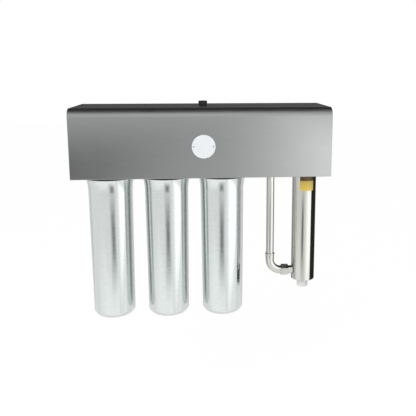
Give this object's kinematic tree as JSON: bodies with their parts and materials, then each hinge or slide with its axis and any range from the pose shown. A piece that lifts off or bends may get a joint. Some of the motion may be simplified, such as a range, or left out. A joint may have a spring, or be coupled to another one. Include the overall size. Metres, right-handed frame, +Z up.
{
  "type": "whole house water filter",
  "caption": "Wall-hung water filter: long steel housings in a row under a folded steel cover, with a pipe down into the foot of an ultraviolet chamber",
  "frame": {"origin": "on the wall, in the middle of the wall bracket, at the height of the inlet and outlet pipes' axis", "axes": "+X to the right along the wall, +Y into the wall, +Z up; the front faces -Y"},
  "size_m": [0.896, 0.2607, 0.7558],
  "materials": {
    "brushed_steel": "satin folded sheet",
    "polished_steel": "polished stainless",
    "zinc_steel": "zinc plated",
    "bracket_paint": "fine matt powder coat",
    "head_plastic": "moulded, fine grain",
    "ring_plastic": "moulded, fine grain",
    "knob_plastic": "moulded, satin",
    "button_plastic": "moulded",
    "badge_enamel": "plain white face",
    "white_plastic": "moulded",
    "cap_plastic": "moulded",
    "pleated_paper": "pleated filter sheet",
    "carbon_wrap": "non-woven wrap over pressed carbon",
    "seal_rubber": "moulded",
    "quartz_glass": "clear drawn tube",
    "supply_plastic": "moulded, fine grain",
    "lead_rubber": "extruded jacket"
  },
  "bodies": {
    "unit": {"wall_bracket": "bracket_paint", "cover_post": "zinc_steel", "filter_head_1": "head_plastic", "head_screw_1_1": "zinc_steel", "head_screw_1_2": "zinc_steel", "head_screw_1_3": "zinc_steel", "head_screw_1_4": "zinc_steel", "filter_head_2": "head_plastic", "head_screw_2_1": "zinc_steel", "head_screw_2_2": "zinc_steel", "head_screw_2_3": "zinc_steel", "head_screw_2_4": "zinc_steel", "filter_head_3": "head_plastic", "head_screw_3_1": "zinc_steel", "head_screw_3_2": "zinc_steel", "head_screw_3_3": "zinc_steel", "head_screw_3_4": "zinc_steel", "link_nipple_1": "polished_steel", "link_nipple_2": "polished_steel", "inlet_nipple": "polished_steel", "outlet_elbow": "polished_steel", "down_pipe": "polished_steel", "lower_elbow": "polished_steel", "uv_chamber": "polished_steel", "quartz_sleeve": "quartz_glass", "uv_lamp": "white_plastic", "lamp_socket": "white_plastic", "chamber_clamp": "zinc_steel", "clamp_rod": "zinc_steel", "lamp_supply": "supply_plastic", "lamp_lead": "lead_rubber"},
    "cover": {"cover": "brushed_steel", "badge": "badge_enamel", "badge_rivet_left": "zinc_steel", "badge_rivet_right": "zinc_steel"},
    "knob": {"cover_knob": "knob_plastic"},
    "relief_1": {"relief_button_1": "button_plastic"},
    "relief_2": {"relief_button_2": "button_plastic"},
    "relief_3": {"relief_button_3": "button_plastic"},
    "housing_1": {"sump_1": "polished_steel", "sump_seal_1": "seal_rubber", "cartridge_media_1": "pleated_paper", "cartridge_top_cap_1": "cap_plastic", "cartridge_foot_cap_1": "cap_plastic"},
    "collar_1": {"lock_ring_1": "ring_plastic"},
    "housing_2": {"sump_2": "polished_steel", "sump_seal_2": "seal_rubber", "cartridge_media_2": "carbon_wrap", "cartridge_top_cap_2": "cap_plastic", "cartridge_foot_cap_2": "cap_plastic"},
    "collar_2": {"lock_ring_2": "ring_plastic"},
    "housing_3": {"sump_3": "polished_steel", "sump_seal_3": "seal_rubber", "cartridge_media_3": "carbon_wrap", "cartridge_top_cap_3": "cap_plastic", "cartridge_foot_cap_3": "cap_plastic"},
    "collar_3": {"lock_ring_3": "ring_plastic"},
    "union": {"union_nut": "polished_steel"},
    "foot_cap": {"uv_foot_cap": "white_plastic"},
    "top_nut": {"uv_top_nut": "zinc_steel"}
  },
  "joints": [
    {"name": "cover_lift", "type": "slide", "parent": "unit", "child": "cover", "axis": [0, 0, 1], "range_m": [0, 0.24]},
    {"name": "knob_turn", "type": "hinge", "parent": "cover", "child": "knob", "pos_m": [0.004, -0.128, 0.149], "axis": [0, 0, 1], "range_deg": [0, 1440]},
    {"name": "relief_press_1", "type": "slide", "parent": "unit", "child": "relief_1", "axis": [0, 0, -1], "range_m": [0, 0.003], "stiffness_N_per_m": 800, "springref_m": -0.001},
    {"name": "relief_press_2", "type": "slide", "parent": "unit", "child": "relief_2", "axis": [0, 0, -1], "range_m": [0, 0.003], "stiffness_N_per_m": 800, "springref_m": -0.001},
    {"name": "relief_press_3", "type": "slide", "parent": "unit", "child": "relief_3", "axis": [0, 0, -1], "range_m": [0, 0.003], "stiffness_N_per_m": 800, "springref_m": -0.001},
    {"name": "housing_drop_1", "type": "slide", "parent": "unit", "child": "housing_1", "axis": [0, 0, -1], "range_m": [0, 0.0181]},
    {"name": "collar_turn_1", "type": "hinge", "parent": "housing_1", "child": "collar_1", "pos_m": [-0.318, -0.138, -0.072], "axis": [0, 0, -1], "range_deg": [0, 1080]},
    {"name": "housing_drop_2", "type": "slide", "parent": "unit", "child": "housing_2", "axis": [0, 0, -1], "range_m": [0, 0.0181]},
    {"name": "collar_turn_2", "type": "hinge", "parent": "housing_2", "child": "collar_2", "pos_m": [-0.125, -0.138, -0.072], "axis": [0, 0, -1], "range_deg": [0, 1080]},
    {"name": "housing_drop_3", "type": "slide", "parent": "unit", "child": "housing_3", "axis": [0, 0, -1], "range_m": [0, 0.0181]},
    {"name": "collar_turn_3", "type": "hinge", "parent": "housing_3", "child": "collar_3", "pos_m": [0.068, -0.138, -0.072], "axis": [0, 0, -1], "range_deg": [0, 1080]},
    {"name": "union_turn", "type": "hinge", "parent": "unit", "child": "union", "pos_m": [0.293, -0.138, -0.447], "axis": [1, 0, 0], "range_deg": [0, 1080]},
    {"name": "foot_cap_turn", "type": "hinge", "parent": "unit", "child": "foot_cap", "pos_m": [0.3605, -0.138, -0.49], "axis": [0, 0, 1], "range_deg": [0, 1080]},
    {"name": "top_nut_turn", "type": "hinge", "parent": "unit", "child": "top_nut", "pos_m": [0.3605, -0.138, 0.04], "axis": [0, 0, 1], "range_deg": [0, 1080]}
  ],
  "couplings": [
    {"joint": "housing_drop_1", "follows": "collar_turn_1", "m_per_rad": 0.00095493},
    {"joint": "housing_drop_2", "follows": "collar_turn_2", "m_per_rad": 0.00095493},
    {"joint": "housing_drop_3", "follows": "collar_turn_3", "m_per_rad": 0.00095493}
  ]
}
